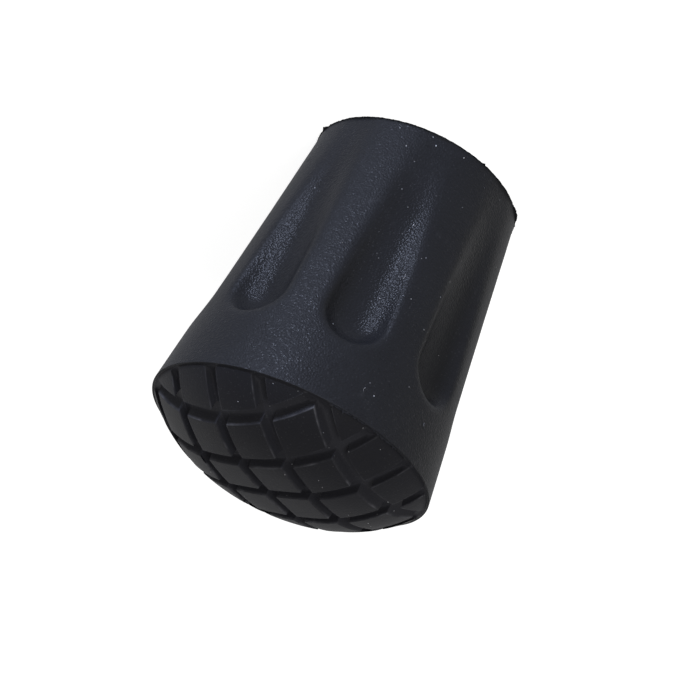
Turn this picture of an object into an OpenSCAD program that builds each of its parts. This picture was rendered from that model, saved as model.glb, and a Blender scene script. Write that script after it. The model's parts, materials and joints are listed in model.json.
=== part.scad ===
// Rubber cane tip: a tapered, fluted push-on foot with a domed, lugged sole.
// It stands on its open mouth, with the sole up. Origin: centre of the mouth, +Z towards the sole.

/* [Body] */
// Outside diameter of the body at the sole's rim
sole_d = 38; // [34:0.5:46]
// Outside diameter of the body at the mouth
mouth_d = 29; // [24:0.5:34]
// Height of the body from the mouth to the sole's rim
body_h = 42; // [36:0.5:55]

/* [Socket] */
// Diameter of the blind hole that grips the shaft
bore_d = 11; // [8:0.5:16]
// Depth of the hole from the mouth
bore_depth = 36; // [20:0.5:38]
// Width of the chamfer that leads the shaft in
lead_in = 0.8; // [0.2:0.1:1.5]

/* [Flutes] */
// Number of flutes round the body
flute_count = 8; // [4:1:9]
// Radius of a flute's round section
flute_r = 4.2; // [3:0.1:5]
// Depth of a flute at its round end
flute_depth = 3.2; // [1.5:0.1:4]
// Distance from the sole's rim to the round end of a flute
flute_margin = 8.8; // [6:0.1:14]
// Distance from the mouth at which a flute runs out
flute_runout = 3.5; // [1:0.1:10]

/* [Sole] */
// Height of the domed sole above its rim
dome_h = 6.6; // [5:0.1:8]
// Radius of the flatter middle of the dome
crown_r = 84; // [50:1:150]
// Radius of the dome's shoulder
shoulder_r = 19.3; // [12:0.1:22]
// Width of the step where the sole stands in from the body's rim
rim_step = 0.3; // [0.1:0.05:1]

/* [Sole lugs] */
// Number of grooves each way across the sole
groove_count = 5; // [1:2:5]
// Distance between the middles of neighbouring grooves
groove_pitch = 6.7; // [5:0.1:7.5]
// Width of a groove
groove_w = 1.65; // [0.8:0.05:3]
// Depth of a groove below the dome
groove_depth = 1.5; // [0.5:0.1:3]

/* [Hidden] */
$fa = 3;
$fs = 0.4;

// How far a cutting tool reaches past the surface that it opens
overcut = 1;

sole_r = sole_d / 2;
mouth_r = mouth_d / 2;
dome_r = sole_r - rim_step;
taper = (sole_r - mouth_r) / body_h;
function body_r(z) = mouth_r + taper * z;

// The dome's shoulder arc touches the crown arc from inside and ends on the sole's rim.
rim_reach = norm([dome_r, crown_r - dome_h]);
centre_gap = crown_r - shoulder_r;
rim_angle = atan2(dome_r, crown_r - dome_h);
touch_angle = rim_angle
    - acos((rim_reach * rim_reach + centre_gap * centre_gap - shoulder_r * shoulder_r)
           / (2 * centre_gap * rim_reach));
touch_x = crown_r * sin(touch_angle);
shoulder_x = centre_gap * sin(touch_angle);
shoulder_y = dome_h - crown_r + centre_gap * cos(touch_angle);

// A flute's round end is a ball, which meets the body's wall this far above the ball's centre.
wall_offset = flute_r - flute_depth;
ball_rise = (taper * wall_offset + sqrt((1 + taper * taper) * flute_r * flute_r
                                        - wall_offset * wall_offset))
            / (1 + taper * taper);
ball_z = body_h - flute_margin - ball_rise;
// The floor climbs from the deep end to the body's wall at the run-out.
floor_r = body_r(ball_z) - flute_depth;
flute_lean = atan2(body_r(flute_runout) - floor_r, ball_z - flute_runout);
flute_len = (ball_z + overcut) / cos(flute_lean);

groove_span = (groove_count - 1) / 2;

// Half section of the dome, from its rim up to the crown.
module dome_section() {
    intersection() {
        translate([0, dome_h - crown_r]) circle(crown_r);
        square([touch_x, dome_h]);
    }
    intersection() {
        translate([shoulder_x, shoulder_y]) circle(shoulder_r);
        translate([touch_x, 0]) square([dome_r - touch_x, dome_h]);
    }
}

// The full moulding before anything is taken out of it.
module blank() {
    rotate_extrude() {
        polygon([[0, 0], [mouth_r, 0], [sole_r, body_h], [0, body_h]]);
        translate([0, body_h]) dome_section();
    }
}

// Blind hole with a chamfered mouth.
module socket_bore() {
    translate([0, 0, -overcut]) cylinder(d = bore_d, h = bore_depth + overcut);
    translate([0, 0, -overcut])
        cylinder(r1 = bore_d / 2 + lead_in + overcut, r2 = bore_d / 2, h = lead_in + overcut);
}

// Round-ended cutter for one flute, drawn along its own axis with the ball at the top.
// Its two halves meet along the flute's floor.
module flute_cutter() {
    for (side = [0, 180])
        rotate(side)
            rotate_extrude(angle = 180) {
                translate([0, -flute_len]) square([flute_r, flute_len]);
                intersection() {
                    circle(flute_r);
                    square(flute_r);
                }
            }
}

module flutes() {
    for (i = [0 : flute_count - 1])
        rotate(i * 360 / flute_count)
            translate([floor_r + flute_r / cos(flute_lean), 0, ball_z])
                rotate([0, -flute_lean, 0])
                    flute_cutter();
}

// Straight grooves both ways across the dome, with a floor that follows it down to the rim.
module sole_grooves() {
    difference() {
        for (turn = [0, 90], i = [-groove_span : groove_span])
            rotate(turn)
                translate([i * groove_pitch - groove_w / 2, -sole_r, body_h])
                    cube([groove_w, sole_d, dome_h + overcut]);
        translate([0, 0, body_h - groove_depth]) rotate_extrude() dome_section();
    }
}

module cane_tip() {
    color("#1d1e22")
        difference() {
            blank();
            socket_bore();
            flutes();
            sole_grooves();
        }
}

cane_tip();
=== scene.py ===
"""Rubber cane tip: the detailed moulding, its flash, its dust and the studio round it."""

import json
import math

import bpy
import numpy as np
from bpy.props import FloatProperty, FloatVectorProperty, IntProperty, PointerProperty
from mathutils import Matrix, Vector
from mathutils.bvhtree import BVHTree
from mathutils.geometry import delaunay_2d_cdt


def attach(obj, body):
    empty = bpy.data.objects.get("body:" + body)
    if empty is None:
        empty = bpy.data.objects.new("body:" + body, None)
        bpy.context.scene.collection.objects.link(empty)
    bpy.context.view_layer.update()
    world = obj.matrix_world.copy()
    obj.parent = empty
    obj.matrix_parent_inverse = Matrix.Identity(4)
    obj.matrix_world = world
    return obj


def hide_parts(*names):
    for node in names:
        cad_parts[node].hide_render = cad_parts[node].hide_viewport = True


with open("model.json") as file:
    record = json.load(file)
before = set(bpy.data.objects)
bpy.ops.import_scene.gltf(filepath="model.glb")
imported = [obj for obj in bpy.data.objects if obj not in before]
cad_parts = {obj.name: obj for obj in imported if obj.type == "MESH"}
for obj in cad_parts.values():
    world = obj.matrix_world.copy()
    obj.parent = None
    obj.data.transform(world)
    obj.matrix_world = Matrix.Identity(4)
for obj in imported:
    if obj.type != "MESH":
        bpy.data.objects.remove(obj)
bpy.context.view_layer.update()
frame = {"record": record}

bl_info = {
    "name": "Rubber cane tip",
    "version": (1, 0, 0),
    "blender": (4, 5, 0),
    "location": "View3D > Sidebar > Cane tip",
    "description": "Builds a fluted rubber cane tip with a lugged sole, its flash and its dust",
    "category": "Add Mesh",
}

MM = 0.001
MESH = {"Geometry": "Geometry"}
NODE = "cane_tip"
BODY = "root"
SOCKET = next(m for m in frame["record"]["mounts"] if m["name"] == "socket")

# The camera's angles are in degrees, and places in its frame count from the top left corner.
FRAME_PX = 700
FOCUS_PX = 1800
SENSOR_WIDTH = 36.0
CAMERA_AZIMUTH = -42.75
CAMERA_ELEVATION = 25.02
CAMERA_ROLL = -154.5
CAMERA_DISTANCE = 0.230
CAMERA_AIM = Vector((-2.73, -0.56, 27.11)) * MM
# Place in the frame, half width in radians and reach in millimetres of each tear at the mouth.
MOUTH_TEARS = ((325, 128, 0.06, 0.35), (481, 165, 0.02, 0.35), (516, 214, 0.16, 0.28))
# Place in the frame where the painted shade on the mouth's lip is darkest.
MOUTH_SHADE_PLACE = (375, 120)
FIN_ENDS = ((330, 395), (410, 465))
# Place in the frame and relative size of the specks and fibres that catch the eye.
SPECKS = (
    (333, 324, 1.3), (411, 299, 1.1), (402, 189, 0.8), (382, 193, 0.8), (396, 197, 0.8),
    (384, 197, 0.8), (426, 258, 0.9), (450, 282, 0.8), (436, 196, 0.7), (436, 146, 1.3),
    (370, 383, 0.9), (374, 396, 0.9), (409, 387, 0.9), (410, 397, 0.9), (389, 405, 0.9),
    (333, 379, 0.9), (394, 511, 1.6), (388, 502, 1.1), (292, 464, 1.1), (270, 406, 0.9),
    (298, 391, 0.8), (363, 428, 0.9), (244, 496, 0.9), (464, 158, 0.9), (433, 137, 0.9),
    (400, 128, 0.9), (486, 313, 1.3),
)
FIBRES = ((364, 390, 0.8), (211, 470, 0.9), (401, 170, 0.7), (424, 426, 0.9))
# Name, direction from the tip's middle, distance, width and colour of each lamp.
TIP_MIDDLE = Vector((0.0, 0.0, 0.024))
LAMPS = (
    ("key", (-0.07, -0.92, -0.38), 0.35, 0.11, (0.66, 0.75, 1.0)),
    ("fill", (-0.74, -0.38, 0.5), 0.6, 0.44, (1.0, 1.0, 0.98)),
    ("back", (0.85, 0.15, 0.5), 0.6, 0.44, (1.0, 1.0, 1.0)),
)


# Sizes and finishes


def length(name, text, mm):
    """A length property with its default in millimetres."""
    return FloatProperty(
        name=name, description=text, default=mm * MM, subtype="DISTANCE", precision=5
    )


def share(name, text, value, top=1.0):
    """A plain number property from 0 to top."""
    return FloatProperty(name=name, description=text, default=value, min=0.0, max=top)


def colour(name, text, value):
    """A linear colour property."""
    return FloatVectorProperty(
        name=name, description=text, default=value, size=3, min=0.0, max=1.0, subtype="COLOR"
    )


class TipSizes(bpy.types.PropertyGroup):
    """Sizes of the moulding."""

    sole_diameter: length("Sole diameter", "Across the body at the sole's rim", 38.0)
    mouth_diameter: length("Mouth diameter", "Across the body at its mouth", 29.0)
    body_height: length("Body height", "From the mouth to the sole's rim", 42.0)
    bore_radius: length(
        "Bore radius", "Radius of the blind hole for the shaft", SOCKET["dims"]["r_mm"]
    )
    bore_depth: length("Bore depth", "Depth of the hole from the mouth", 36.0)
    lead_in: length("Lead-in", "Chamfer at the mouth of the hole", 0.8)
    flute_count: IntProperty(
        name="Flutes", description="Flutes round the body", default=8, min=4, max=9
    )
    flute_radius: length("Flute radius", "Radius of a flute's round section", 4.37)
    flute_depth: length("Flute depth", "Depth of a flute at its round end", 2.8)
    flute_fullness: share("Flute fullness", "2 is a round floor, 3 a flatter one", 2.3, 4.0)
    flute_margin: length("Flute margin", "From the rim to a flute's round end", 8.8)
    flute_runout: length("Flute run-out", "Where a flute fades out", 3.5)
    flute_softness: length("Flute softness", "Reach of a flute's rounded edge", 1.6)
    dome_height: length("Dome height", "Height of the sole above its rim", 6.6)
    crown_radius: length("Crown radius", "Radius of the dome's flat middle", 84.0)
    shoulder_radius: length("Shoulder radius", "Radius of the dome's shoulder", 19.3)
    rim_step: length("Rim step", "How far the sole stands in from the rim", 0.3)
    groove_count: IntProperty(
        name="Grooves", description="Grooves each way across", default=5, min=1, max=5
    )
    groove_pitch: length("Groove pitch", "Between neighbouring grooves", 6.7)
    groove_width: length("Groove width", "Width of a groove at its top", 1.65)
    groove_depth: length("Groove depth", "Depth of a groove below the dome", 1.5)
    groove_draft: length("Groove draft", "How much a wall leans in", 0.12)
    lug_softness: length("Lug softness", "Reach of a lug's rounded edge", 0.12)
    floor_softness: length("Floor softness", "Reach of the fillet in a groove", 0.35)
    rim_softness: length("Rim softness", "Reach of the rim's rounded edge", 0.22)
    parting_size: length("Parting size", "Radius of the line under the rim", 0.15)
    waviness: length("Waviness", "Depth of the skin's slow unevenness", 0.05)


class TipFinish(bpy.types.PropertyGroup):
    """Colours and surface of the rubber."""

    rubber_colour: colour("Rubber", "Colour of the body", (0.0090, 0.0093, 0.0110))
    sole_colour: colour("Sole", "Colour of the lugs", (0.0080, 0.0080, 0.0100))
    # Partly wear and partly painted highlight: the pale colour of the lug and rim edges.
    scuff_colour: colour("Scuff", "Colour of rubbed edges", (0.13, 0.13, 0.145))
    # Painted light: a paler colour that lightens the shade in the grooves.
    groove_colour: colour("Grooves", "Colour of what lies in them", (0.021, 0.021, 0.025))
    dust_colour: colour("Dust", "Colour of specks and lint", (0.42, 0.42, 0.44))
    body_roughness: share("Body roughness", "Roughness of the body", 0.55)
    flute_roughness: share("Flute roughness", "Roughness of the unworn flutes", 0.29)
    sole_roughness: share("Sole roughness", "Roughness of the lugs", 0.84)
    gloss_level: share("Gloss level", "Specular level of the rubber", 0.07)
    grain_size: length("Grain size", "Size of the facets of the grain", 0.26)


class StageSetup(bpy.types.PropertyGroup):
    """Light of the studio."""

    key_strength: share("Key", "Power of the key lamp in watts", 1.9, 100.0)
    fill_strength: share("Fill", "Power of the broad front lamp in watts", 2.75, 100.0)
    back_strength: share("Back", "Power of the lamp behind the sole in watts", 0.6, 100.0)
    horizon_strength: share("Horizon", "Strength of the even light low down", 0.45, 10.0)
    zenith_strength: share("Zenith", "Strength of the even light overhead", 0.1, 10.0)


# Node trees


class Field:
    """A socket in a node tree; sums and products of fields add their nodes to it."""

    def __init__(self, socket):
        self.socket = socket

    def do(self, operation, *others, clamp=False):
        """The result of a Math node whose first input is this field."""
        inputs = dict(enumerate((self, *others)))
        return made(
            self.socket.id_data, "ShaderNodeMath", inputs, operation=operation, use_clamp=clamp
        )

    def __add__(self, other):
        return self.do("ADD", other)

    def __sub__(self, other):
        return self.do("SUBTRACT", other)

    def __mul__(self, other):
        return self.do("MULTIPLY", other)

    def __truediv__(self, other):
        return self.do("DIVIDE", other)

    def __neg__(self):
        return self.do("MULTIPLY", -1.0)

    def __abs__(self):
        return self.do("ABSOLUTE")

    def circle(self):
        """The cosine and the sine of this angle."""
        return self.do("COSINE"), self.do("SINE")

    def rest(self):
        """What is left of one."""
        return self * -1.0 + 1.0

    def lifted(self, amount):
        """This field plus an amount, kept between 0 and 1."""
        return self.do("ADD", amount, clamp=True)

    def at_least(self, other):
        """This field, or the other value where it is larger."""
        return self.do("MAXIMUM", other)

    def at_most(self, other):
        """This field, or the other value where it is smaller."""
        return self.do("MINIMUM", other)


def plug(slot, value):
    """Links a field or socket to an input, or writes a plain value on it."""
    if isinstance(value, Field):
        value = value.socket
    if isinstance(value, bpy.types.NodeSocket):
        slot.id_data.links.new(value, slot)
    elif value is not None:
        slot.default_value = value


def fill(slots, values):
    """Gives each input its value, by name or number."""
    for slot, value in values.items():
        plug(slots[slot], value)


def add_node(tree, kind, inputs=None, **settings):
    """A new node with its settings and its inputs."""
    node = tree.nodes.new(kind)
    for name, value in settings.items():
        setattr(node, name, value)
    fill(node.inputs, inputs or {})
    return node


def made(tree, kind, inputs=None, **settings):
    """The first output of a new node."""
    return Field(add_node(tree, kind, inputs, **settings).outputs[0])


def geometry(tree, kind, inputs=None, **settings):
    """The first output of a new geometry node."""
    return made(tree, "GeometryNode" + kind, inputs, **settings)


def squares(*sides):
    """The sum of the squares of some fields."""
    return sum((side * side for side in sides[1:]), sides[0] * sides[0])


def hypotenuse(*sides):
    """The length of the vector with these sides."""
    return squares(*sides).do("SQRT")


def split(tree, vector):
    """The three parts of a vector."""
    node = add_node(tree, "ShaderNodeSeparateXYZ", {0: vector})
    return [Field(s) for s in node.outputs]


def joined(tree, x, y, z):
    """A vector from its three parts."""
    return made(tree, "ShaderNodeCombineXYZ", {0: x, 1: y, 2: z})


def scaled(tree, vector, factor):
    """A vector times a number."""
    inputs = {0: vector, "Scale": factor}
    return made(tree, "ShaderNodeVectorMath", inputs, operation="SCALE")


def noise(tree, place, size, detail=2.0, roughness=0.5):
    """Noise whose features are about size metres across."""
    inputs = {"Vector": place, "Detail": detail, "Roughness": roughness}
    inputs["Scale"] = size.do("POWER", -1.0) if isinstance(size, Field) else 1.0 / size
    return made(tree, "ShaderNodeTexNoise", inputs)


def patches(tree, place, size, contrast, least):
    """Patches of a size in metres, from a least value up to one."""
    mask = (noise(tree, place, size, 3.0) - 0.42) * contrast
    return mask.do("MAXIMUM", least, clamp=True)


def object_place(tree):
    """The place on the object, from its own origin."""
    return Field(add_node(tree, "ShaderNodeTexCoord").outputs["Object"])


def new_tree(name, kind, inputs, outputs):
    """A node group, the fields that it is given and the sockets that it fills.

    A socket is described by its kind, or by the number that it has by default.
    """
    tree = bpy.data.node_groups.new(name, kind + "NodeTree")
    for way, sockets in (("INPUT", inputs), ("OUTPUT", outputs)):
        for title, content in sockets.items():
            number = isinstance(content, (int, float))
            socket = "NodeSocket" + (type(content).__name__.title() if number else content)
            item = tree.interface.new_socket(title, in_out=way, socket_type=socket)
            if number:
                item.default_value = content
    given = {s.name: Field(s) for s in tree.nodes.new("NodeGroupInput").outputs}
    return tree, given, tree.nodes.new("NodeGroupOutput").inputs


def needed_tree(name, make):
    """The node group of that name, made the first time it is asked for."""
    return bpy.data.node_groups.get(name) or make()


def named(tree, name, kind="FLOAT"):
    """The value that every element keeps under a name."""
    return geometry(tree, "InputNamedAttribute", {"Name": name}, data_type=kind)


def stored(tree, mesh, name, value, kind="FLOAT"):
    """A geometry whose points keep a value under a name."""
    inputs = {"Geometry": mesh, "Name": name, "Value": value}
    return geometry(tree, "StoreNamedAttribute", inputs, data_type=kind, domain="POINT")


def together(tree, *parts):
    """One geometry made of several."""
    node = add_node(tree, "GeometryNodeJoinGeometry")
    for part in parts:
        plug(node.inputs[0], part)
    return Field(node.outputs[0])


def welded(tree, mesh, reach):
    """A mesh whose points within reach of each other are made one."""
    return geometry(tree, "MergeByDistance", {"Geometry": mesh, "Distance": reach})


def finished(tree, mesh, material, result):
    """Ends a geometry tree: real meshes that carry the material."""
    plain = geometry(tree, "RealizeInstances", {0: mesh})
    painted = geometry(tree, "SetMaterial", {"Geometry": plain, "Material": material})
    plug(result["Geometry"], painted)
    return tree


# Objects and their meshes


def new_object(name, content):
    """An object at the origin that shows a mesh, or holds a lamp or a camera."""
    obj = bpy.data.objects.new(name, content)
    bpy.context.scene.collection.objects.link(obj)
    return obj


def dressed(name, tree, values, start=None):
    """A new object with the plain mesh that a geometry tree makes of a starting mesh."""
    start = start or bpy.data.meshes.new(name)
    obj = new_object(name, start)
    modifier = obj.modifiers.new(tree.name, "NODES")
    modifier.node_group = tree
    for item in tree.interface.items_tree:
        if item.in_out == "INPUT" and item.name in values:
            modifier[item.identifier] = values[item.name]
    graph = bpy.context.evaluated_depsgraph_get()
    mesh = bpy.data.meshes.new_from_object(
        obj.evaluated_get(graph), preserve_all_data_layers=True, depsgraph=graph
    )
    obj.modifiers.clear()
    if mesh.materials[0] is None:
        mesh.materials.pop(index=0)
    obj.data = mesh
    bpy.data.meshes.remove(start)
    mesh.name = name
    return obj


def keep(mesh, name, kind, domain, values):
    """Stores a value for each point or face of a mesh."""
    part = "vector" if kind == "FLOAT_VECTOR" else "value"
    mesh.attributes.new(name, kind, domain).data.foreach_set(part, values)


def standing(place, back):
    """The matrix of a lamp or camera at a place, with its back turned that way."""
    return Matrix.Translation(place) @ back.to_track_quat("Z", "Y").to_matrix().to_4x4()


def camera_matrix():
    """Where the camera stands and how it is turned."""
    turn, rise = math.radians(CAMERA_AZIMUTH), math.radians(CAMERA_ELEVATION)
    back = Vector(
        (math.sin(turn) * math.cos(rise), -math.cos(turn) * math.cos(rise), math.sin(rise))
    )
    roll = Matrix.Rotation(math.radians(CAMERA_ROLL), 4, "Z")
    return standing(CAMERA_AIM + back * CAMERA_DISTANCE, back) @ roll


def sight_line(x, y):
    """Start and direction of the line of sight through a place in the frame."""
    camera = camera_matrix()
    lens = Vector((x - FRAME_PX / 2, FRAME_PX / 2 - y, -FOCUS_PX))
    return camera.translation, (camera.to_3x3() @ lens).normalized()


def ring_angle(x, y, height):
    """Angle round the axis at which the line of sight meets a level plane."""
    start, way = sight_line(x, y)
    point = start + way * ((height - start.z) / way.z)
    return math.atan2(point.y, point.x)


def seen_points(name, mesh, places):
    """A mesh of points where lines of sight strike a mesh; each keeps its facing and size."""
    skin = BVHTree.FromPolygons(
        [v.co for v in mesh.vertices], [tuple(f.vertices) for f in mesh.polygons]
    )
    struck = [(*skin.ray_cast(*sight_line(x, y))[:2], size) for x, y, size in places]
    struck = [hit for hit in struck if hit[0] is not None]
    points = bpy.data.meshes.new(name)
    points.from_pydata([point for point, _, _ in struck], [], [])
    facing = [part for _, normal, _ in struck for part in normal]
    keep(points, "facing", "FLOAT_VECTOR", "POINT", facing)
    keep(points, "size", "FLOAT", "POINT", [size for _, _, size in struck])
    return points


# The moulding's form

# The lengths and counts that the form takes as they are.
PLAIN_SIZES = (
    "Body Height", "Flute Count", "Flute Radius", "Flute Fullness", "Flute Softness",
    "Dome Height", "Crown Radius", "Shoulder Radius", "Groove Count", "Groove Pitch",
    "Groove Width", "Groove Depth", "Groove Draft", "Lug Softness", "Floor Softness",
    "Rim Softness", "Parting Size",
)
# The masks that the finish reads, and how far they reach.
MASKS = ("Hollow", "Edge", "Sole", "Groove")
HOLLOW_REACH = 0.8 * MM
# Reach of the edges painted pale, partly as wear and partly as painted highlight.
LUG_WEAR_AND_HIGHLIGHT = 0.11 * MM
RIM_WEAR_AND_HIGHLIGHT = 0.22 * MM
GROOVE_REACH = 0.35 * MM
SOLE_FADE = 0.1 * MM
# How far below the rim the sole's finish begins, and how far the sole goes on in the body.
SOLE_START = 0.2 * MM
SOLE_ROOT = 0.3 * MM
PARTING_OFFSET = 0.02 * MM
PARTING_SOFTNESS = 0.1 * MM
SECTOR_WELD = 0.003 * MM
PRESS_ROUNDS = 7
SLOPE_STEP = 0.02 * MM
WAVE_SIZE = 6.25 * MM


def tip_shape(sizes):
    """Every length of the form, by the name of its input in the form's node tree."""
    mouth_r = sizes.mouth_diameter / 2
    taper = (sizes.sole_diameter / 2 - mouth_r) / sizes.body_height
    dome_r = sizes.sole_diameter / 2 - sizes.rim_step
    crown_drop = sizes.crown_radius - sizes.dome_height
    rim_reach = math.hypot(dome_r, crown_drop)
    centre_gap = sizes.crown_radius - sizes.shoulder_radius
    touch = math.atan2(dome_r, crown_drop) - math.acos(
        (rim_reach**2 + centre_gap**2 - sizes.shoulder_radius**2)
        / (2 * centre_gap * rim_reach)
    )
    wall = sizes.flute_radius - sizes.flute_depth
    slope = 1 + taper * taper
    rise = (taper * wall + math.sqrt(slope * sizes.flute_radius**2 - wall**2)) / slope
    end_height = sizes.body_height - sizes.flute_margin - rise
    floor_r = mouth_r + taper * end_height - sizes.flute_depth
    runout_r = mouth_r + taper * sizes.flute_runout
    lean = math.atan2(runout_r - floor_r, end_height - sizes.flute_runout)
    shape = {name: getattr(sizes, name.lower().replace(" ", "_")) for name in PLAIN_SIZES}
    shape["Mouth Radius"] = mouth_r
    shape["Taper"] = taper
    shape["Flute End Reach"] = floor_r + sizes.flute_radius / math.cos(lean)
    shape["Flute End Height"] = end_height
    shape["Flute Lean"] = lean
    shape["Shoulder Reach"] = centre_gap * math.sin(touch)
    shape["Shoulder Height"] = centre_gap * math.cos(touch) - crown_drop
    shape["Touch Angle"] = touch
    shape["Parting Radius"] = dome_r + PARTING_OFFSET
    return shape


def form_tree(shape):
    """How far a place lies outside the tip's skin, with masks for the finish."""
    outputs = dict.fromkeys(("Distance", *MASKS), "Float")
    tree, size, result = new_tree("Tip form", "Geometry", {"Place": "Vector", **shape}, outputs)
    x, y, z = split(tree, size["Place"])
    rho = hypotenuse(x, y)
    above_rim = z - size["Body Height"]

    # The tapered body and the flute nearest to the place.
    steep = (size["Taper"] * size["Taper"] + 1.0).do("SQRT")
    cone = (rho - size["Mouth Radius"] - size["Taper"] * z) / steep
    sector = size["Flute Count"].do("POWER", -1.0) * math.tau
    turn = (y.do("ARCTAN2", x) + sector * 0.5).do("FLOORED_MODULO", sector)
    cosine, sine = (turn - sector * 0.5).circle()
    out = rho * cosine - size["Flute End Reach"]
    side = rho * sine
    up = z - size["Flute End Height"]
    lean_down, lean_out = size["Flute Lean"].circle()
    along = (out * lean_out - up * lean_down).at_least(0.0)
    deep = abs(out - along * lean_out)
    level = hypotenuse(side, up + along * lean_down)
    fullness = size["Flute Fullness"]
    section = deep.do("POWER", fullness) + level.do("POWER", fullness)
    flute = section.do("POWER", fullness.do("POWER", -1.0)) - size["Flute Radius"]
    body = cone.do("SMOOTH_MAX", -flute, size["Flute Softness"])
    body = body.do("SMOOTH_MAX", above_rim, size["Rim Softness"])

    def dome(sunk):
        """How far a place lies outside the dome, sunk by a depth."""
        height = above_rim + sunk
        from_centre = height + size["Crown Radius"] - size["Dome Height"]
        crown = hypotenuse(rho, from_centre) - size["Crown Radius"]
        past = rho - size["Shoulder Reach"]
        shoulder = hypotenuse(past, height - size["Shoulder Height"])
        shoulder = shoulder - size["Shoulder Radius"]
        on_crown = rho.do("ARCTAN2", from_centre).do("LESS_THAN", size["Touch Angle"])
        return shoulder + (crown - shoulder) * on_crown

    top = dome(0.0)
    floor = dome(size["Groove Depth"])
    draft = size["Groove Draft"] / size["Groove Depth"]
    last = size["Groove Count"] - 1.0

    def past_wall(across):
        """How far a place lies inside the nearest groove that runs one way."""
        nearest = (across / size["Groove Pitch"] + last * 0.5).do("ROUND")
        nearest = nearest.at_least(0.0).at_most(last) - last * 0.5
        off = abs(across - nearest * size["Groove Pitch"])
        return size["Groove Width"] * 0.5 + draft * top - off

    walls = past_wall(x).do("SMOOTH_MAX", past_wall(y), size["Lug Softness"])
    lugs = walls.do("SMOOTH_MIN", floor, size["Floor Softness"])
    sole = top.do("SMOOTH_MAX", lugs, size["Lug Softness"])
    sole = sole.at_least(-(above_rim + SOLE_ROOT))
    parting = size["Parting Size"] - hypotenuse(rho - size["Parting Radius"], above_rim)
    form = body.at_most(sole).do("SMOOTH_MAX", parting, PARTING_SOFTNESS)

    lug_edge = (abs(top - walls) / -LUG_WEAR_AND_HIGHLIGHT + 1.0).at_least(0.0)
    rim_edge = (abs(cone - above_rim) / -RIM_WEAR_AND_HIGHLIGHT + 1.0).at_least(0.0)
    within = (size["Parting Radius"] - rho).at_most(above_rim + SOLE_START)
    in_sole = (within / SOLE_FADE).lifted(0.0)
    found = {
        "Distance": form,
        "Hollow": (-cone / HOLLOW_REACH).at_least(0.0),
        "Edge": lug_edge.do("MAXIMUM", rim_edge, clamp=True),
        "Sole": in_sole,
        "Groove": in_sole * (top / -GROOVE_REACH).lifted(-0.2),
    }
    fill(result, found)
    return tree


def moulding_tree(shape):
    """Copies the fluted sector round the blank, presses the blank into the form and ends it."""
    form = form_tree(shape)
    inputs = {**MESH, **shape, "Waviness": 0.0, "Rubber": "Material"}
    tree, given, result = new_tree("Tip moulding", "Geometry", inputs, MESH)

    def form_at(place):
        """The form's outputs at a place."""
        inputs = {"Place": place, **{name: given[name] for name in shape}}
        return add_node(tree, "GeometryNodeGroup", inputs, node_tree=form).outputs

    # One sector of the wall is copied once for each flute.
    inputs = {"Geometry": given["Geometry"], "Selection": named(tree, "sector", "BOOLEAN")}
    parts = add_node(tree, "GeometryNodeSeparateGeometry", inputs, domain="FACE").outputs
    turn = geometry(tree, "InputIndex") * math.tau / given["Flute Count"]
    copies = {
        "Points": geometry(tree, "Points", {"Count": given["Flute Count"]}),
        "Instance": parts["Selection"],
        "Rotation": joined(tree, 0.0, 0.0, turn),
    }
    ring = geometry(tree, "RealizeInstances", {0: geometry(tree, "InstanceOnPoints", copies)})
    whole = welded(tree, together(tree, ring, parts["Inverted"]), SECTOR_WELD)

    # Each round of the loop moves every point along the form's slope on to the form.
    start = tree.nodes.new("GeometryNodeRepeatInput")
    end = tree.nodes.new("GeometryNodeRepeatOutput")
    start.pair_with_output(end)
    fill(start.inputs, {"Iterations": PRESS_ROUNDS, "Geometry": whole})
    place = geometry(tree, "InputPosition")
    here = Field(form_at(place)["Distance"])
    slopes = []
    for axis in range(3):
        shift = [SLOPE_STEP if i == axis else 0.0 for i in range(3)]
        beside = made(tree, "ShaderNodeVectorMath", {0: place, 1: shift}, operation="ADD")
        slopes.append((Field(form_at(beside)["Distance"]) - here) / SLOPE_STEP)
    pull = -here / squares(*slopes).at_least(0.2)

    def shifted(mesh, way, distance):
        """The mesh with its pressed points moved along a vector field."""
        inputs = {"Geometry": mesh, "Selection": named(tree, "pressed", "BOOLEAN")}
        inputs["Offset"] = scaled(tree, way, distance)
        return geometry(tree, "SetPosition", inputs)

    plug(end.inputs["Geometry"], shifted(start.outputs["Geometry"], joined(tree, *slopes), pull))
    masks = form_at(place)
    mesh = end.outputs["Geometry"]
    for mask in MASKS:
        mesh = stored(tree, mesh, mask.lower(), masks[mask])

    # The skin is slightly uneven, always inwards.
    depth = -(noise(tree, place, WAVE_SIZE, 2.0, 0.55) * given["Waviness"])
    uneven = shifted(mesh, geometry(tree, "InputNormal"), depth)
    smooth = geometry(tree, "SetShadeSmooth", {"Geometry": uneven})
    return finished(tree, smooth, given["Rubber"], result)


# The blank that is pressed into the form

# The sole's edge, from the parting line and above the rim.
SOLE_EDGE_GAP = 0.1 * MM
SOLE_EDGE_LIFT = 0.15 * MM
# Gaps between the wall's rings and a flute's round end, and the wall's top, in millimetres.
BELOW_END = (0.0, 0.08, 0.2, 0.36, 0.56, 0.8, 1.1, 1.45, 1.85, 2.3, 2.8, 3.35, 3.95)
ABOVE_END = (0.1, 0.22, 0.36, 0.55, 0.8, 1.15)
BELOW_TOP = (0.6, 0.4, 0.26, 0.16, 0.09)
FOOT = 0.22
# How far a flute's edge columns keep from its middle at least, at the rim, and more at the mouth.
LEAST_SPREAD = 0.9 * MM
RIM_SPREAD = 3.2 * MM
MOUTH_SPREAD = 1.4 * MM
# How far inside the sole's edge its lines end, and how much further in the outermost may lie.
LINE_END_GAP = 0.1 * MM
LAST_LINE_GAP = 0.3 * MM
BORE_STEP = 3.0 * MM


def steps_between(first, last, pitch):
    """Even steps from first up to, and not with, last, about pitch apart."""
    return list(np.linspace(first, last, max(2, round((last - first) / pitch) + 1))[:-1])


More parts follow.
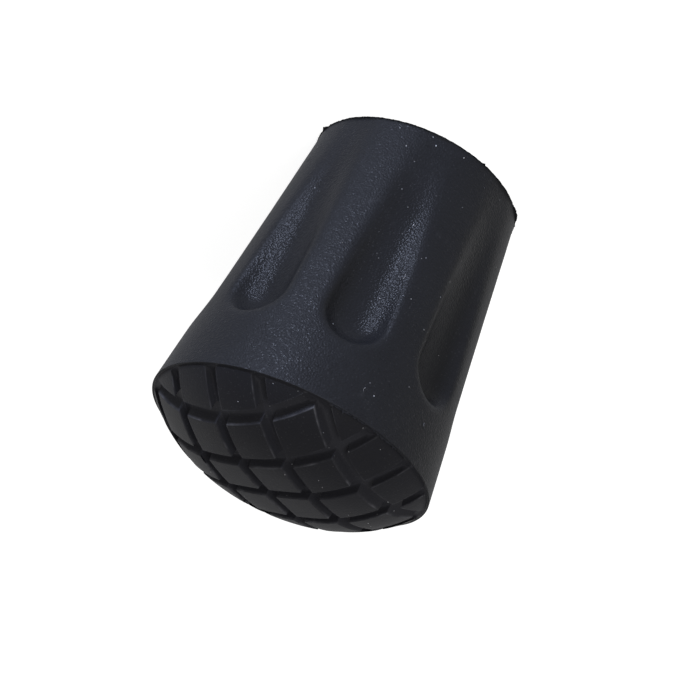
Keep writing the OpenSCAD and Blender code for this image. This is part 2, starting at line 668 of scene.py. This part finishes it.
def wall_heights(sizes):
    """Heights of the rings up the wall, close together where a flute begins and ends."""
    end = (sizes.body_height - sizes.flute_margin) / MM
    top = sizes.body_height / MM
    runout = sizes.flute_runout / MM
    heights = steps_between(FOOT, runout - 1.5, 0.55)
    heights += steps_between(runout - 1.5, runout + 4.5, 0.3)
    heights += steps_between(runout + 4.5, end - 4.4, 0.7)
    heights += [end - gap for gap in reversed(BELOW_END)]
    heights += [end + gap for gap in ABOVE_END]
    heights += steps_between(end + 1.6, top - 0.6, 0.6)
    heights += [top - gap for gap in BELOW_TOP]
    return [h * MM for h in heights]


def flute_outline(shape, wall, height):
    """A flute at a height: its half width on the wall, its centre's reach and its radius."""
    down = shape["Flute End Height"] - height
    reach = shape["Flute End Reach"] + max(down, 0.0) * math.tan(shape["Flute Lean"])
    square = shape["Flute Radius"] ** 2 - min(down, 0.0) ** 2
    if square <= 0:
        return 0.0, reach, 0.0
    cosine = (wall**2 + reach**2 - square) / (2 * wall * reach)
    return wall * math.acos(min(1.0, cosine)), reach, math.sqrt(square)


def column_offsets(half_width, half_sector):
    """Places of the columns along the wall, from the middle of a flute to that of its land."""
    spread = min(1.0, max(0.4, half_width / (1.5 * MM)))
    edge = [e * MM * spread for e in (-0.5, -0.32, -0.16, 0.0, 0.16, 0.32, 0.5)]
    inner = np.linspace(0.0, half_width + edge[0], 9)[:-1]
    outer = np.linspace(half_width + edge[-1], half_sector, 10)[1:]
    return np.concatenate([inner, [half_width + e for e in edge], outer])


def sector_rings(shape, sizes):
    """Rings of one fluted sector from the mouth to the sole, as (angle, reach, height)."""
    half_angle = math.pi / shape["Flute Count"]
    end = sizes.body_height - sizes.flute_margin
    rings = []
    for height in wall_heights(sizes):
        wall = shape["Mouth Radius"] + shape["Taper"] * height
        width, reach, radius = flute_outline(shape, wall, height)
        lines = math.hypot(width, LEAST_SPREAD)
        if height > end:
            lines += (RIM_SPREAD - LEAST_SPREAD) * (height - end) / sizes.flute_margin
        elif height < sizes.flute_runout:
            lines += MOUTH_SPREAD * (1 - height / sizes.flute_runout)
        half = column_offsets(lines, wall * half_angle) / wall
        angles = np.concatenate([-half[:0:-1], half])
        ring = []
        for angle in angles:
            out = wall
            if abs(angle) * wall < width:
                chord = max(radius**2 - (reach * math.sin(angle)) ** 2, 0.0)
                out = min(wall, reach * math.cos(angle) - math.sqrt(chord))
            ring.append((angle, out, height))
        rings.append(ring)
    # Over the rim and down into the parting line, then up to the edge of the sole.
    rim = sizes.sole_diameter / 2
    line, size = shape["Parting Radius"], shape["Parting Size"]
    profile = [(rim - 0.02 * MM, -0.04 * MM), (rim - 0.05 * MM, -0.01 * MM)]
    for degrees in range(0, 181, 30):
        turn = math.radians(degrees)
        profile.append((line + size * math.cos(turn), -size * math.sin(turn)))
    profile.append((sole_edge(shape), SOLE_EDGE_LIFT))
    for reach, lift in profile:
        rings.append([(angle, reach, sizes.body_height + lift) for angle in angles])
    return rings


def sole_edge(shape):
    """Radius at which the wall's rings give way to the sole's own mesh."""
    return shape["Parting Radius"] - shape["Parting Size"] - SOLE_EDGE_GAP


def sole_height(shape, x, y):
    """Height of the lugged dome over its rim at a place."""
    rho = math.hypot(x, y)
    if rho < shape["Crown Radius"] * math.sin(shape["Touch Angle"]):
        drop = shape["Crown Radius"] - shape["Dome Height"]
        top = math.sqrt(shape["Crown Radius"] ** 2 - rho**2) - drop
    else:
        out = rho - shape["Shoulder Reach"]
        top = shape["Shoulder Height"] + math.sqrt(shape["Shoulder Radius"] ** 2 - out**2)
    last = shape["Groove Count"] - 1
    cut = 0.0
    for across in (x, y):
        nearest = min(max(round(across / shape["Groove Pitch"] + last / 2), 0), last)
        off = abs(across - (nearest - last / 2) * shape["Groove Pitch"])
        inside = (shape["Groove Width"] / 2 - off) / shape["Groove Draft"]
        cut = max(cut, min(1.0, inside))
    return max(0.0, top - cut * shape["Groove Depth"])


def sole_lines(shape):
    """Offsets of the mesh lines across the sole, close together at the grooves' walls."""
    half = shape["Groove Width"] / 2
    draft = shape["Groove Draft"]
    walls = [gap * MM for gap in (0.34, 0.2, 0.09, 0.03, 0.0)]
    walls += [-draft * part for part in (0.25, 0.5, 0.75, 1.0)]
    walls += [-draft - gap * MM for gap in (0.05, 0.13, 0.26)]
    last = shape["Groove Count"] - 1
    lug = shape["Groove Pitch"] - 2 * (half + walls[0])
    lug_lines = [lug * k / 6 for k in range(1, 6)]
    lines = []
    for i in range(shape["Groove Count"]):
        middle = (i - last / 2) * shape["Groove Pitch"]
        lines += [middle]
        for side in (-1, 1):
            lines += [middle + side * (half + w) for w in walls]
        lines += [middle + half + walls[0] + line for line in lug_lines]
    first = -last / 2 * shape["Groove Pitch"] - half - walls[0]
    return sorted(lines + [first - line for line in lug_lines])


def sole_mesh(shape, angles):
    """Places and triangles of the sole inside its edge ring."""
    edge = sole_edge(shape)
    places = [Vector((edge * math.cos(a), edge * math.sin(a))) for a in angles]
    joins = [(i, (i + 1) % len(angles)) for i in range(len(angles))]
    inside = edge - LINE_END_GAP
    for line in sole_lines(shape):
        if abs(line) < inside - LAST_LINE_GAP:
            half = math.sqrt(inside**2 - line**2)
            for ends in (((line, -half), (line, half)), ((-half, line), (half, line))):
                joins.append((len(places), len(places) + 1))
                places += [Vector(end) for end in ends]
    # The mesher works in millimetres, so that its tolerance suits the part.
    found = delaunay_2d_cdt([p / MM for p in places], joins, [], 0, 1e-5)
    points = []
    for p in [p * MM for p in found[0]]:
        on_edge = p.length > edge - 0.01 * MM
        points.append((p.x, p.y, SOLE_EDGE_LIFT if on_edge else sole_height(shape, *p)))
    return points, found[2]


def rounded_corners(corners):
    """The outline through (reach, height, radius) corners, each turned with its radius."""
    outline = []
    for i, (x, y, radius) in enumerate(corners):
        here = Vector((x, y))
        if radius == 0:
            outline.append(here)
            continue
        before = (Vector(corners[i - 1][:2]) - here).normalized()
        after = (Vector(corners[i + 1][:2]) - here).normalized()
        half = before.angle(after) / 2
        centre = here + (before + after).normalized() * radius / math.sin(half)
        first = here + before * (radius / math.tan(half)) - centre
        sweep = (math.pi - 2 * half) * (1 if before.cross(after) < 0 else -1)
        outline += [centre + Matrix.Rotation(sweep * k / 4, 2) @ first for k in range(5)]
    return outline


def bore_outline(shape, sizes):
    """Half section from the foot of the wall round the mouth and up the hole to its end."""
    foot = FOOT * MM
    mouth, bore, lead = shape["Mouth Radius"], sizes.bore_radius, sizes.lead_in
    corners = [
        (mouth + shape["Taper"] * foot, foot, 0),
        (mouth, 0.0, 0.16 * MM),
        (bore + lead, 0.0, 0.1 * MM),
        (bore, lead, 0.15 * MM),
        (bore, sizes.bore_depth, 0.4 * MM),
        (0.0, sizes.bore_depth, 0),
    ]
    outline = rounded_corners(corners)
    even = outline[:1]
    for point in outline[1:]:
        last = even[-1]
        count = max(1, math.ceil((point - last).length / BORE_STEP))
        even += [last.lerp(point, (k + 1) / count) for k in range(count)]
    return even[:-1]


def blank_mesh(shape, sizes):
    """The blank: one sector of the wall, the sole, and the mouth with its hole."""
    rings = sector_rings(shape, sizes)
    columns = len(rings[0])
    points = [(r * math.cos(a), r * math.sin(a), z) for ring in rings for a, r, z in ring]
    faces = []
    for i in range(len(rings) - 1):
        for k in range(i * columns, (i + 1) * columns - 1):
            faces.append((k, k + 1, k + columns + 1, k + columns))
    sector_faces = len(faces)

    count = shape["Flute Count"]
    mouth_angles, sole_angles = (
        [p[0] + math.tau * k / count for k in range(count) for p in ring[:-1]]
        for ring in (rings[0], rings[-1])
    )
    base = len(points)
    places, triangles = sole_mesh(shape, sole_angles)
    points += [(x, y, sizes.body_height + z) for x, y, z in places]
    for a, b, c in triangles:
        pa, pb, pc = (Vector(places[i][:2]) for i in (a, b, c))
        if (pb - pa).cross(pc - pa) < 0:
            b, c = c, b
        faces.append((base + a, base + b, base + c))
    pressed_points = len(points)

    around = len(mouth_angles)
    outline = bore_outline(shape, sizes)
    for i, (reach, height) in enumerate(outline):
        base = len(points)
        points += [(reach * math.cos(a), reach * math.sin(a), height) for a in mouth_angles]
        for j in range(around if i else 0):
            a, b = base - around + j, base - around + (j + 1) % around
            faces.append((a, a + around, b + around, b))
    points.append((0.0, 0.0, sizes.bore_depth))
    for j in range(around):
        faces.append((base + j, len(points) - 1, base + (j + 1) % around))

    mesh = bpy.data.meshes.new(NODE)
    mesh.from_pydata(points, [], faces)
    of_sector = [i < sector_faces for i in range(len(faces))]
    keep(mesh, "sector", "BOOLEAN", "FACE", of_sector)
    keep(mesh, "pressed", "BOOLEAN", "POINT", [i < pressed_points for i in range(len(points))])
    return mesh


# Torn flash, dust and lint

SECTION_POINTS = 8
FADES_PER_ARC = 8.0
RAGGED_SIZE = 0.9 * MM
TOOTH_SIZE = 0.35 * MM
FLASH_WELD = 0.002 * MM


def flash_tree(tear_count):
    """A thin ragged skin along an arc, rooted under the surface, with deeper tears."""
    inputs = {
        **MESH,
        "Steps": 720,
        "Start Angle": 0.0,
        "End Angle": math.tau,
        "Open Ends": 0.0,
        "Radius": 0.0,
        "Height": 0.0,
        "Lean": 0.0,
        "Root": 0.2 * MM,
        "Reach": 0.2 * MM,
        "Thickness": 0.08 * MM,
        "Seed": 0.0,
        "Rubber": "Material",
    }
    for i in range(1, tear_count + 1):
        inputs.update({f"Tear {i} {part}": 0.0 for part in ("Angle", "Width", "Reach")})
    tree, given, result = new_tree("Torn flash", "Geometry", inputs, MESH)

    rows = SECTION_POINTS + 1
    size = {"Vertices X": given["Steps"] + 1.0, "Vertices Y": rows}
    grid = geometry(tree, "MeshGrid", size)
    index = geometry(tree, "InputIndex")
    along = (index / rows).do("FLOOR") / given["Steps"]
    turn = index.do("MODULO", rows) * (math.tau / SECTION_POINTS)
    angle = along * (given["End Angle"] - given["Start Angle"]) + given["Start Angle"]
    end_gap = along.at_most(along.rest())
    closed = given["Open Ends"].rest()
    fade = (end_gap * FADES_PER_ARC + closed).at_most(1.0)
    shut = end_gap.do("GREATER_THAN", 1e-5).at_least(closed)

    cosine, sine = angle.circle()
    ring = joined(
        tree, cosine * given["Radius"], sine * given["Radius"], given["Seed"] * MM
    )
    ragged = noise(tree, ring, RAGGED_SIZE, 4.0, 0.7)
    teeth = (noise(tree, ring, TOOTH_SIZE) - 0.6).at_least(0.0)
    reach = ((ragged - 0.3) * 2.4 + teeth * 6.0).at_least(0.12) * given["Reach"]
    for i in range(1, tear_count + 1):
        gap = (angle - given[f"Tear {i} Angle"]).do("WRAP", math.pi, -math.pi)
        bump = (abs(gap) / given[f"Tear {i} Width"]).rest().at_least(0.0) * (ragged + 0.5)
        reach = reach + bump * given[f"Tear {i} Reach"]

    # A flattened loop, thick at the root and thin at the torn edge.
    far, high = turn.circle()
    outward = (far * 0.5 + 0.5) * (given["Root"] + reach * fade) * shut - given["Root"]
    upward = (high * 0.5 + 0.5) * given["Thickness"] * shut * (far * -0.35 + 0.65)
    lean_cosine, lean_sine = given["Lean"].circle()
    radius = given["Radius"] + outward * lean_cosine - upward * lean_sine
    height = given["Height"] + outward * lean_sine + upward * lean_cosine
    place = joined(tree, radius * cosine, radius * sine, height)
    laid = geometry(tree, "SetPosition", {"Geometry": grid, "Position": place})
    return finished(tree, welded(tree, laid, FLASH_WELD), given["Rubber"], result)


def grain_of_dust(tree):
    """A faceted flake, one across, that lies on its flat side."""
    ball = geometry(tree, "MeshIcoSphere", {"Radius": 0.5, "Subdivisions": 1})
    flat = {"Geometry": ball, "Translation": (0, 0, 0.1), "Scale": (1.0, 1.0, 0.5)}
    return geometry(tree, "Transform", flat)


def thread_of_lint(tree):
    """A bent three-sided fibre, one long, that lies flat."""
    bend = {
        "Resolution": 7,
        "Start": (-0.45, -0.1, 0.03),
        "Middle": (0.1, 0.35, 0.05),
        "End": (0.5, -0.05, 0.03),
    }
    tube = {
        "Curve": geometry(tree, "CurveQuadraticBezier", bend),
        "Profile Curve": geometry(
            tree, "CurvePrimitiveCircle", {"Resolution": 3, "Radius": 0.05}
        ),
        "Fill Caps": True,
    }
    return geometry(tree, "CurveToMesh", tube)


def scatter_tree(name, particle):
    """Lays particles on given points and, in patches, all over the outside of a skin."""
    inputs = {
        **MESH,
        "Skin": "Object",
        "Bore Clearance": 8.0 * MM,
        "Lowest": 0.5 * MM,
        "Highest": 48.4 * MM,
        "Widest": 18.9 * MM,
        "Sole Height": 42.0 * MM,
        "Density": 100000.0,
        "Patch Size": 8.0 * MM,
        "Smallest": 0.5,
        "Size": 0.2 * MM,
        "Seed": 1,
        "Material": "Material",
    }
    tree, given, result = new_tree(name, "Geometry", inputs, MESH)
    skin = add_node(tree, "GeometryNodeObjectInfo", {"Object": given["Skin"]})
    place = geometry(tree, "InputPosition")
    x, y, z = split(tree, place)
    radius = hypotenuse(x, y)
    outside = radius.do("GREATER_THAN", given["Bore Clearance"])
    outside = outside.at_least(z.do("GREATER_THAN", given["Sole Height"]))
    outside = outside * z.do("GREATER_THAN", given["Lowest"])
    outside = outside * z.do("LESS_THAN", given["Highest"])
    outside = outside * radius.do("LESS_THAN", given["Widest"])
    patchy = patches(tree, place, given["Patch Size"], 5.0, 0.04)
    strewn = add_node(
        tree,
        "GeometryNodeDistributePointsOnFaces",
        {
            "Mesh": skin.outputs["Geometry"],
            "Density": patchy * outside * given["Density"],
            "Seed": given["Seed"],
        },
        distribute_method="RANDOM",
    ).outputs

    def drawn(low, high, offset):
        """A random number for each particle; each offset is a draw of its own."""
        inputs = {"Seed": given["Seed"] + float(offset), 2: low, 3: high}
        node = add_node(tree, "FunctionNodeRandomValue", inputs, data_type="FLOAT")
        return Field(node.outputs[1])

    kept = stored(tree, strewn["Points"], "facing", strewn["Normal"], "FLOAT_VECTOR")
    kept = stored(tree, kept, "size", drawn(given["Smallest"], 1.0, 1))
    points = geometry(tree, "MeshToPoints", {"Mesh": given["Geometry"]})
    facing = {"Vector": named(tree, "facing", "FLOAT_VECTOR")}
    stand = made(tree, "FunctionNodeAlignRotationToVector", facing, axis="Z")
    turn = {"Rotation": stand, "Rotate By": joined(tree, 0.0, 0.0, drawn(0.0, math.tau, 2))}
    size = named(tree, "size") * given["Size"]
    laid = {
        "Points": together(tree, kept, points),
        "Instance": particle(tree),
        "Rotation": made(tree, "FunctionNodeRotateRotation", turn, rotation_space="LOCAL"),
        "Scale": joined(tree, size, size * drawn(0.5, 1.0, 3), size * drawn(0.5, 0.9, 4)),
    }
    mesh = geometry(tree, "InstanceOnPoints", laid)
    return finished(tree, mesh, given["Material"], result)


# Finishes

MOTTLE_SIZE = 5.0 * MM
WEAR_PATCH = 2.6 * MM
GRAIN_DEPTH = 0.035 * MM
# Height of the mouth's lip that is painted black as painted shade, and the reach over which that
# shade fades round the mouth.
LIP_HEIGHT = 0.55 * MM
MOUTH_SHADE_REACH = 7.0 * MM
FILM_PATCH = 6.0 * MM
TORN_PATCH = 1.0 * MM
TORN_GRAIN_SIZE = 0.15 * MM
TORN_GRAIN_DEPTH = 0.03 * MM
DUST_TONE_SIZE = 1.1 * MM


def principled(name):
    """A material, its tree and the inputs of its Principled shader."""
    material = bpy.data.materials.new(name)
    material.use_nodes = True
    tree = material.node_tree
    return material, tree, tree.nodes["Principled BSDF"].inputs


def needed_material(name, make, *given):
    """The material of that name, made the first time it is asked for."""
    return bpy.data.materials.get(name) or make(*given)


def attribute(tree, name):
    """A mask that the mesh keeps under a name."""
    return Field(add_node(tree, "ShaderNodeAttribute", attribute_name=name).outputs["Fac"])


def mixed(tree, factor, low, high):
    """A colour between two, by a factor."""
    node = add_node(tree, "ShaderNodeMix", {"Factor": factor}, data_type="RGBA")
    slots = [s for s in node.inputs if s.type == "RGBA"]
    for slot, value in zip(slots, (low, high)):
        plug(slot, value if isinstance(value, Field) else (*value, 1.0))
    return Field(next(s for s in node.outputs if s.type == "RGBA"))


def cells(tree, place, scale):
    """Small cells: the distance from each one's middle, and a chance number for each."""
    node = add_node(tree, "ShaderNodeTexVoronoi", {"Vector": place, "Scale": scale})
    return Field(node.outputs["Distance"]), split(tree, node.outputs["Color"])[0]


def grain_group():
    """Moulded rubber grain: the height of small facets, and how glossy each of them is."""
    inputs = {"Facets": 1.0, "Tooth": 1.0, "Size": 0.22 * MM}
    outputs = {"Height": "Float", "Gloss": "Float"}
    tree, given, result = new_tree("Rubber grain", "Shader", inputs, outputs)
    place = object_place(tree)
    scale = given["Size"].do("POWER", -1.0)
    distance, chance = cells(tree, place, scale)
    tooth = {"Vector": place, "Scale": scale * 0.7, "Detail": 2.0}
    tooth = made(tree, "ShaderNodeTexNoise", tooth)
    height = distance * given["Facets"] + tooth * given["Tooth"]
    fill(result, {"Height": height, "Gloss": chance})
    return tree


def film_group():
    """Fine dust that clings in patches: a mask of pinpoints."""
    inputs = {"Amount": 1.0, "Size": 0.25 * MM}
    tree, given, result = new_tree("Fine dust", "Shader", inputs, {"Mask": "Float"})
    place = object_place(tree)
    distance, chance = cells(tree, place, given["Size"].do("POWER", -1.0))
    dot = (distance * -3.0).lifted(1.2)
    patch = noise(tree, place, FILM_PATCH)
    kept = (chance + patch * 0.6 - 1.0).do("MULTIPLY", 3.0, clamp=True)
    plug(result["Mask"], dot * kept * given["Amount"])
    return tree


def grained(tree, facets, tooth, size, depth):
    """The normal of moulded grain of a depth, and how glossy each facet is."""
    grain = add_node(
        tree,
        "ShaderNodeGroup",
        {"Facets": facets, "Tooth": tooth, "Size": size},
        node_tree=needed_tree("Rubber grain", grain_group),
    ).outputs
    bump = {"Strength": 1.0, "Distance": depth, "Height": grain["Height"]}
    return made(tree, "ShaderNodeBump", bump), Field(grain["Gloss"])


def dusted(tree, base, amount, dust_colour):
    """A base colour under a film of fine dust."""
    film = needed_tree("Fine dust", film_group)
    mask = made(tree, "ShaderNodeGroup", {"Amount": amount}, node_tree=film)
    return mixed(tree, mask, base, dust_colour)


def rubber_material(finish):
    """Moulded rubber: grained body, glossier flutes, matt lugs, edges painted pale as wear and
    painted highlight, grooves painted paler as painted light, the mouth's lip painted black as
    painted shade, and fine dust.
    """
    material, tree, shader = principled("Rubber")
    place = object_place(tree)
    hollow = attribute(tree, "hollow").at_most(1.0)
    sole = attribute(tree, "sole")
    mottle = noise(tree, place, MOTTLE_SIZE, 3.0)

    def mottled(colour):
        """A colour that is a little darker and lighter in patches."""
        return mixed(tree, mottle, [c * 0.85 for c in colour], [c * 1.15 for c in colour])

    base = mixed(tree, sole, mottled(finish.rubber_colour), mottled(finish.sole_colour))
    # Painted light: the grooves are painted paler than the rubber, palest on their upward-facing
    # floors, to lighten the shade in them.
    way = add_node(tree, "ShaderNodeTexCoord").outputs["Normal"]
    level = split(tree, way)[2].do("POWER", 2.0)
    groove_light = attribute(tree, "groove") * (level * 0.2 + 0.6)
    base = mixed(tree, groove_light, base, finish.groove_colour)
    # Edges are painted pale in patches, those of the lugs most: partly rubbed wear, partly a
    # painted highlight on the edges that catch the light.
    patchy = patches(tree, place, WEAR_PATCH, 4.0, 0.15)
    wear_and_highlight = attribute(tree, "edge") * patchy * (sole * 0.38 + 0.08)
    base = mixed(tree, wear_and_highlight, base, finish.scuff_colour)
    # Painted shade: the lip of the mouth, where it stands on the floor, is painted black, most of
    # all on one side.
    x, y, z = split(tree, place)
    shade_side = ring_angle(*MOUTH_SHADE_PLACE, 0.0)
    side = (x * math.cos(shade_side) + y * math.sin(shade_side)) / MOUTH_SHADE_REACH - 0.9
    lip = (z / -LIP_HEIGHT).lifted(1.0) * side.do("MAXIMUM", 0.3, clamp=True)
    base = mixed(tree, lip, base, (0.0, 0.0, 0.0))
    base = dusted(tree, base, 0.05, finish.dust_colour)

    facets = hollow * 0.2 + 1.4 - sole * 1.1
    tooth = sole * -0.5 + 0.6
    normal, gloss = grained(tree, facets, tooth, finish.grain_size, GRAIN_DEPTH)
    # Single facets of the body glint, but not where the skin turns away.
    turned = add_node(tree, "ShaderNodeLayerWeight", {"Blend": 0.5}).outputs["Facing"]
    facing = (Field(turned) * -1.8).lifted(1.3)
    glint = gloss.do("POWER", 3.0) * (sole.rest() * hollow.rest() * facing)
    rough = sole * (finish.sole_roughness - finish.body_roughness) + finish.body_roughness
    rough = rough + hollow * (finish.flute_roughness - finish.body_roughness)
    rough = rough + (mottle - 0.5) * 0.06 - glint * 0.33 + lip * 0.4
    fill(shader, {"Base Color": base, "Roughness": rough, "Normal": normal})
    plug(shader["Specular IOR Level"], finish.gloss_level)
    return material


def torn_material(finish):
    """Torn rubber: darker and rougher than the moulded skin."""
    material, tree, shader = principled("Torn rubber")
    base = dusted(tree, [c * 0.6 for c in finish.rubber_colour], 0.1, finish.dust_colour)
    rough = noise(tree, object_place(tree), TORN_PATCH) * 0.3 + 0.6
    normal, _ = grained(tree, 1.0, 1.5, TORN_GRAIN_SIZE, TORN_GRAIN_DEPTH)
    fill(shader, {"Base Color": base, "Roughness": rough, "Normal": normal})
    plug(shader["Specular IOR Level"], finish.gloss_level)
    return material


def dust_material(finish):
    """Pale, matt flakes and fibres of slightly different greys."""
    material, tree, shader = principled("Dust")
    tone = noise(tree, object_place(tree), DUST_TONE_SIZE)
    tone = ((tone - 0.4) * 4.0).at_least(0.1)
    tint = scaled(tree, tuple(finish.dust_colour), tone)
    fill(shader, {"Base Color": tint, "Roughness": 1.0, "Specular IOR Level": 0.0})
    return material


# The stage

FLOOR_SIDE = 6.0
FLOOR_DROP = 0.01 * MM
FLOOR_FADE = 0.4


def seen(tree):
    """1 for what the camera sees by itself, in a gloss or through glass."""
    rays = add_node(tree, "ShaderNodeLightPath").outputs
    found = Field(rays["Is Camera Ray"]).at_least(rays["Is Glossy Ray"])
    return found.at_least(rays["Is Transmission Ray"])


def floor_material():
    """A matt grey floor that looks white, and whitest away from the tip."""
    material, tree, shader = principled("Pale floor")
    away = hypotenuse(*split(tree, object_place(tree))) / FLOOR_FADE - 0.4
    away = away.do("MAXIMUM", 0.0, clamp=True)
    finish = {
        "Base Color": (0.5, 0.5, 0.5, 1.0),
        "Roughness": 1.0,
        "Specular IOR Level": 0.0,
        "Emission Color": (1.0, 1.0, 1.0, 1.0),
        "Emission Strength": seen(tree) * (away * 0.15 + 0.85),
    }
    fill(shader, finish)
    return material


def even_light(setup):
    """A world of even light, brightest at the horizon and dim overhead."""
    world = bpy.data.worlds.new("Studio")
    world.use_nodes = True
    world.cycles.sampling_method = "NONE"
    tree = world.node_tree
    tree.nodes.clear()
    way = split(tree, add_node(tree, "ShaderNodeTexCoord").outputs["Generated"])
    low = (-abs(way[2]) + 1.0).do("POWER", 2.0)
    even = low * (setup.horizon_strength - setup.zenith_strength) + setup.zenith_strength
    light = {"Color": (1.0, 1.0, 1.0, 1.0), "Strength": even.at_least(seen(tree))}
    sky = made(tree, "ShaderNodeBackground", light)
    add_node(tree, "ShaderNodeOutputWorld", {"Surface": sky})
    return world


# Operators


class CANETIP_OT_stage(bpy.types.Operator):
    """Sets the floor, the lamps, the even light and the camera"""

    bl_idname = "cane_tip.stage"
    bl_label = "Studio"

    def execute(self, context):
        scene = context.scene
        half = FLOOR_SIDE / 2
        corners = ((-half, -half), (half, -half), (half, half), (-half, half))
        mesh = bpy.data.meshes.new("floor")
        mesh.from_pydata([(x, y, -FLOOR_DROP) for x, y in corners], [], [(0, 1, 2, 3)])
        mesh.materials.append(floor_material())
        floor = new_object("floor", mesh)
        floor.visible_shadow = False
        floor.visible_glossy = False

        scene.world = even_light(scene.tip_stage)
        for name, direction, distance, width, tint in LAMPS:
            light = bpy.data.lights.new(name, "AREA")
            light.shape = "DISK"
            light.size = width
            light.color = tint
            light.energy = getattr(scene.tip_stage, name + "_strength")
            lamp = new_object(name, light)
            way = Vector(direction)
            lamp.matrix_world = standing(TIP_MIDDLE + way.normalized() * distance, way)
            lamp.visible_camera = False

        lens = bpy.data.cameras.new("Camera")
        lens.sensor_width = SENSOR_WIDTH
        lens.lens = SENSOR_WIDTH * FOCUS_PX / FRAME_PX
        lens.clip_start = 0.005
        scene.camera = new_object("Camera", lens)
        scene.camera.matrix_world = camera_matrix()
        scene.view_settings.view_transform = "Standard"
        return {"FINISHED"}


class CANETIP_OT_moulding(bpy.types.Operator):
    """Builds the tapered, fluted body with its lugged sole and its hole"""

    bl_idname = "cane_tip.moulding"
    bl_label = "Rubber moulding"

    def execute(self, context):
        sizes, finish = context.scene.tip_sizes, context.scene.tip_finish
        shape = tip_shape(sizes)
        rubber = needed_material("Rubber", rubber_material, finish)
        values = dict(shape, Waviness=sizes.waviness, Rubber=rubber)
        obj = dressed("moulding", moulding_tree(shape), values, blank_mesh(shape, sizes))
        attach(obj, BODY)
        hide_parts(NODE)
        return {"FINISHED"}


class CANETIP_OT_mouth_flash(bpy.types.Operator):
    """Leaves a thin torn skin of rubber round the edge of the mouth"""

    bl_idname = "cane_tip.mouth_flash"
    bl_label = "Flash at the mouth"

    def execute(self, context):
        sizes, finish = context.scene.tip_sizes, context.scene.tip_finish
        values = {
            "Radius": sizes.mouth_diameter / 2,
            "Height": 0.01 * MM,
            "Reach": 0.16 * MM,
            "Thickness": 0.09 * MM,
            "Rubber": needed_material("Torn rubber", torn_material, finish),
        }
        for i, (x, y, width, reach) in enumerate(MOUTH_TEARS, 1):
            values[f"Tear {i} Angle"] = ring_angle(x, y, 0.0)
            values[f"Tear {i} Width"] = width
            values[f"Tear {i} Reach"] = reach * MM
        obj = dressed("mouth_flash", flash_tree(len(MOUTH_TEARS)), values)
        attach(obj, BODY)
        return {"FINISHED"}


class CANETIP_OT_rim_fin(bpy.types.Operator):
    """Leaves a short fin standing on the rim of the sole"""

    bl_idname = "cane_tip.rim_fin"
    bl_label = "Fin on the rim"

    def execute(self, context):
        sizes, finish = context.scene.tip_sizes, context.scene.tip_finish
        height = sizes.body_height
        first, last = (ring_angle(x, y, height) for x, y in FIN_ENDS)
        turn = (last - first + math.pi) % math.tau - math.pi
        start, end = sorted((first, first + turn))
        values = {
            "Steps": 160,
            "Start Angle": start,
            "End Angle": end,
            "Open Ends": 1.0,
            "Radius": sizes.sole_diameter / 2 - 0.12 * MM,
            "Height": height - 0.05 * MM,
            "Lean": math.radians(84.0),
            "Reach": 0.45 * MM,
            "Thickness": 0.1 * MM,
            "Seed": 5.0,
            "Rubber": needed_material("Rubber", rubber_material, finish),
        }
        obj = dressed("rim_fin", flash_tree(0), values)
        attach(obj, BODY)
        return {"FINISHED"}


class CANETIP_OT_dust(bpy.types.Operator):
    """Strews pale specks and lint over the outside"""

    bl_idname = "cane_tip.dust"
    bl_label = "Dust and lint"

    def execute(self, context):
        skin = bpy.data.objects["moulding"]
        material = needed_material("Dust", dust_material, context.scene.tip_finish)
        for name, particle, places, density, size, smallest, seed in (
            ("dust", grain_of_dust, SPECKS, 90000.0, 0.18, 0.3, 3),
            ("lint", thread_of_lint, FIBRES, 3000.0, 0.9, 0.4, 8),
        ):
            values = {
                "Skin": skin,
                "Density": density,
                "Size": size * MM,
                "Smallest": smallest,
                "Seed": seed,
                "Material": material,
            }
            tree = scatter_tree("Strewn " + name, particle)
            obj = dressed(name, tree, values, seen_points(name, skin.data, places))
            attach(obj, BODY)
        return {"FINISHED"}


class CANETIP_PT_panel(bpy.types.Panel):
    """Sizes, finish and the steps that build the tip"""

    bl_idname = "CANETIP_PT_panel"
    bl_label = "Rubber cane tip"
    bl_space_type = "VIEW_3D"
    bl_region_type = "UI"
    bl_category = "Cane tip"

    def draw(self, context):
        for name, kind in GROUPS.items():
            box = self.layout.box()
            box.label(text=kind.__doc__)
            for title in kind.__annotations__:
                box.prop(getattr(context.scene, name), title)
        for step in STEPS:
            self.layout.operator(step.bl_idname)


STEPS = (
    CANETIP_OT_stage,
    CANETIP_OT_moulding,
    CANETIP_OT_mouth_flash,
    CANETIP_OT_rim_fin,
    CANETIP_OT_dust,
)
GROUPS = {"tip_sizes": TipSizes, "tip_finish": TipFinish, "tip_stage": StageSetup}
CLASSES = (*GROUPS.values(), *STEPS, CANETIP_PT_panel)


def register():
    for cls in CLASSES:
        bpy.utils.register_class(cls)
    for name, kind in GROUPS.items():
        setattr(bpy.types.Scene, name, PointerProperty(type=kind))


def unregister():
    for name in GROUPS:
        delattr(bpy.types.Scene, name)
    for cls in reversed(CLASSES):
        bpy.utils.unregister_class(cls)


def main():
    """Registers the classes and builds everything in order."""
    register()
    bpy.ops.cane_tip.stage()
    bpy.ops.cane_tip.moulding()
    bpy.ops.cane_tip.mouth_flash()
    bpy.ops.cane_tip.rim_fin()
    bpy.ops.cane_tip.dust()


if __name__ == "__main__":
    main()
